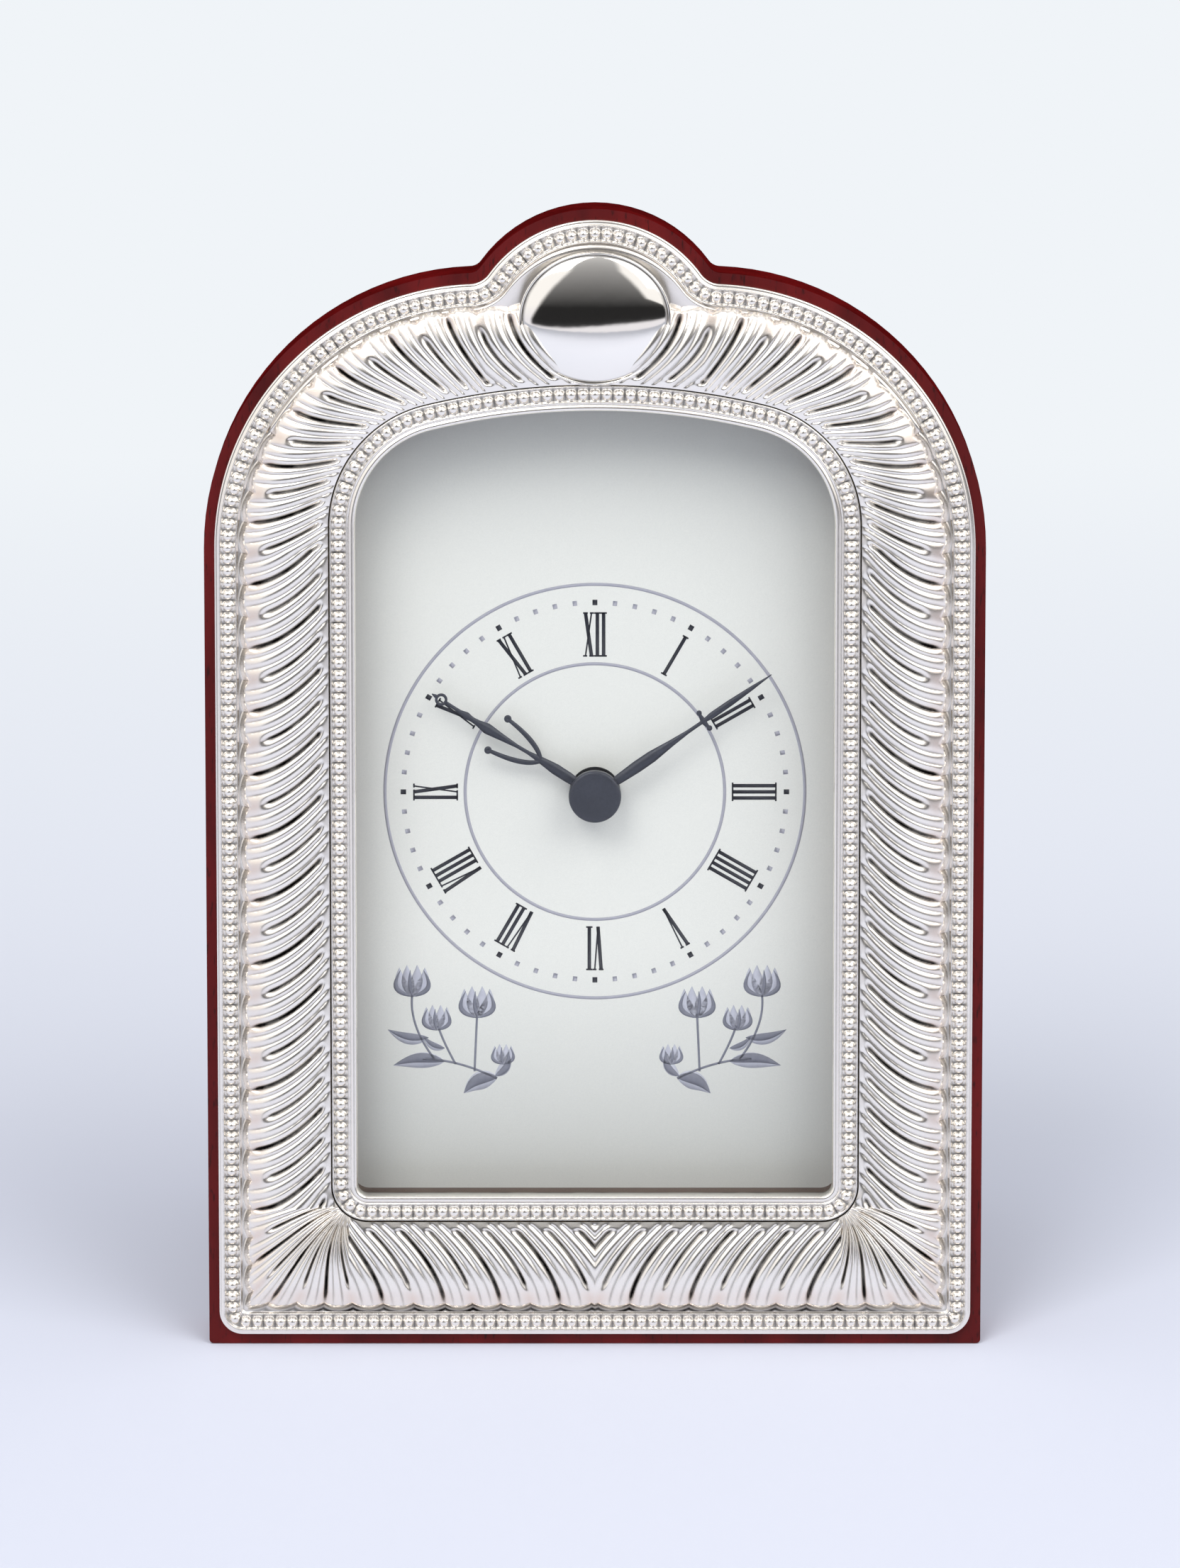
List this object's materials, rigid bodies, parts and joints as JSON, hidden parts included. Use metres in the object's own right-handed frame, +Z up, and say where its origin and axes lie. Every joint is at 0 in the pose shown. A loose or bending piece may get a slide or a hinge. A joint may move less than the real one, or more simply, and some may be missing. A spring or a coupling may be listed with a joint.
{
  "type": "photo frame clock",
  "caption": "Table clock in an arched frame: dark board, pressed silver front with swirled flutes and beads, roman dial, quartz movement and folding strut.",
  "frame": {"origin": "on the ground, centred left to right and front to back on the whole object with its strut open", "axes": "+Z up, +X to the viewer's right when facing the dial, -Y out of the dial"},
  "size_m": [0.114, 0.0628, 0.1659],
  "materials": {
    "mahogany": "dark mahogany under gloss lacquer",
    "silver": "bright pressed and polished silver",
    "former_resin": "cast resin",
    "clear_glass": "flat polished glass",
    "card": "smooth pale card",
    "dial_silvering": "silvered satin dial",
    "washer_rubber": "black rubber",
    "brass": "drawn brass",
    "blued_hand": "dark blued and stamped",
    "case_plastic": "moulded, fine texture",
    "wheel_plastic": "moulded acetal",
    "steel": "turned steel",
    "winding": "enamelled copper wire",
    "circuit": "coated glass fibre board",
    "magnet": "sintered magnet",
    "cell_wrap": "shrunk film over steel can"
  },
  "bodies": {
    "frame": {"back_board": "mahogany", "front_former": "former_resin", "silver_front": "silver", "window_glass": "clear_glass", "dial_spacer": "card", "dial_plate": "dial_silvering", "dial_washer": "washer_rubber", "retaining_ring": "brass", "movement_case": "case_plastic", "movement_cover": "case_plastic", "wheel_plate": "wheel_plastic", "train_bridge": "wheel_plastic", "stator": "steel", "coil": "winding", "circuit_board": "circuit", "quartz_crystal": "steel", "contact_positive": "steel", "contact_negative": "steel", "hinge_leaf_board": "brass", "hinge_pin": "steel", "board_screws": "brass"},
    "minute": {"minute_arbor": "brass", "minute_hand": "blued_hand", "hand_cap": "blued_hand"},
    "hour": {"hour_wheel": "brass", "hour_hand": "blued_hand"},
    "motion": {"motion_wheel": "wheel_plastic", "set_knob": "wheel_plastic"},
    "centre": {"centre_wheel": "wheel_plastic"},
    "third": {"third_wheel": "wheel_plastic"},
    "second": {"second_wheel": "wheel_plastic"},
    "intermediate": {"intermediate_wheel": "wheel_plastic"},
    "rotor_body": {"rotor": "magnet"},
    "cell": {"battery": "cell_wrap"},
    "strut": {"strut_panel": "mahogany", "hinge_leaf_strut": "brass", "strut_screws": "brass"}
  },
  "joints": [
    {"name": "strut_fold", "type": "hinge", "parent": "frame", "child": "strut", "pos_m": [0, 0.00389, 0.1139], "axis": [-1, 0, 0], "range_deg": [0, 19.5]},
    {"name": "minute_spin", "type": "hinge", "parent": "frame", "child": "minute", "pos_m": [0, -0.01554, 0.08026], "axis": [0, 0.9848, -0.1736], "continuous": true},
    {"name": "hour_spin", "type": "hinge", "parent": "frame", "child": "hour", "pos_m": [0, -0.01554, 0.08026], "axis": [0, 0.9848, -0.1736], "continuous": true},
    {"name": "motion_spin", "type": "hinge", "parent": "frame", "child": "motion", "pos_m": [0.00643, -0.01422, 0.08781], "axis": [0, 0.9848, -0.1736], "continuous": true},
    {"name": "second_spin", "type": "hinge", "parent": "frame", "child": "second", "pos_m": [0, -0.01554, 0.08026], "axis": [0, 0.9848, -0.1736], "continuous": true},
    {"name": "third_spin", "type": "hinge", "parent": "frame", "child": "third", "pos_m": [-0.00526, -0.01424, 0.08767], "axis": [0, 0.9848, -0.1736], "continuous": true},
    {"name": "centre_spin", "type": "hinge", "parent": "frame", "child": "centre", "pos_m": [0, -0.01554, 0.08026], "axis": [0, 0.9848, -0.1736], "continuous": true},
    {"name": "intermediate_spin", "type": "hinge", "parent": "frame", "child": "intermediate", "pos_m": [0.00904, -0.01597, 0.07788], "axis": [0, 0.9848, -0.1736], "continuous": true},
    {"name": "rotor_spin", "type": "hinge", "parent": "frame", "child": "rotor_body", "pos_m": [0.01457, -0.01562, 0.07986], "axis": [0, 0.9848, -0.1736], "continuous": true},
    {"name": "cell_slide", "type": "slide", "parent": "frame", "child": "cell", "axis": [0, 0.9848, -0.1736], "range_m": [0, 0.018]}
  ],
  "couplings": [
    {"joint": "hour_spin", "follows": "minute_spin", "ratio": 0.083333},
    {"joint": "motion_spin", "follows": "minute_spin", "ratio": -0.33333},
    {"joint": "third_spin", "follows": "second_spin", "ratio": -0.13333},
    {"joint": "centre_spin", "follows": "second_spin", "ratio": 0.016667},
    {"joint": "intermediate_spin", "follows": "second_spin", "ratio": -5},
    {"joint": "rotor_spin", "follows": "second_spin", "ratio": 30}
  ]
}
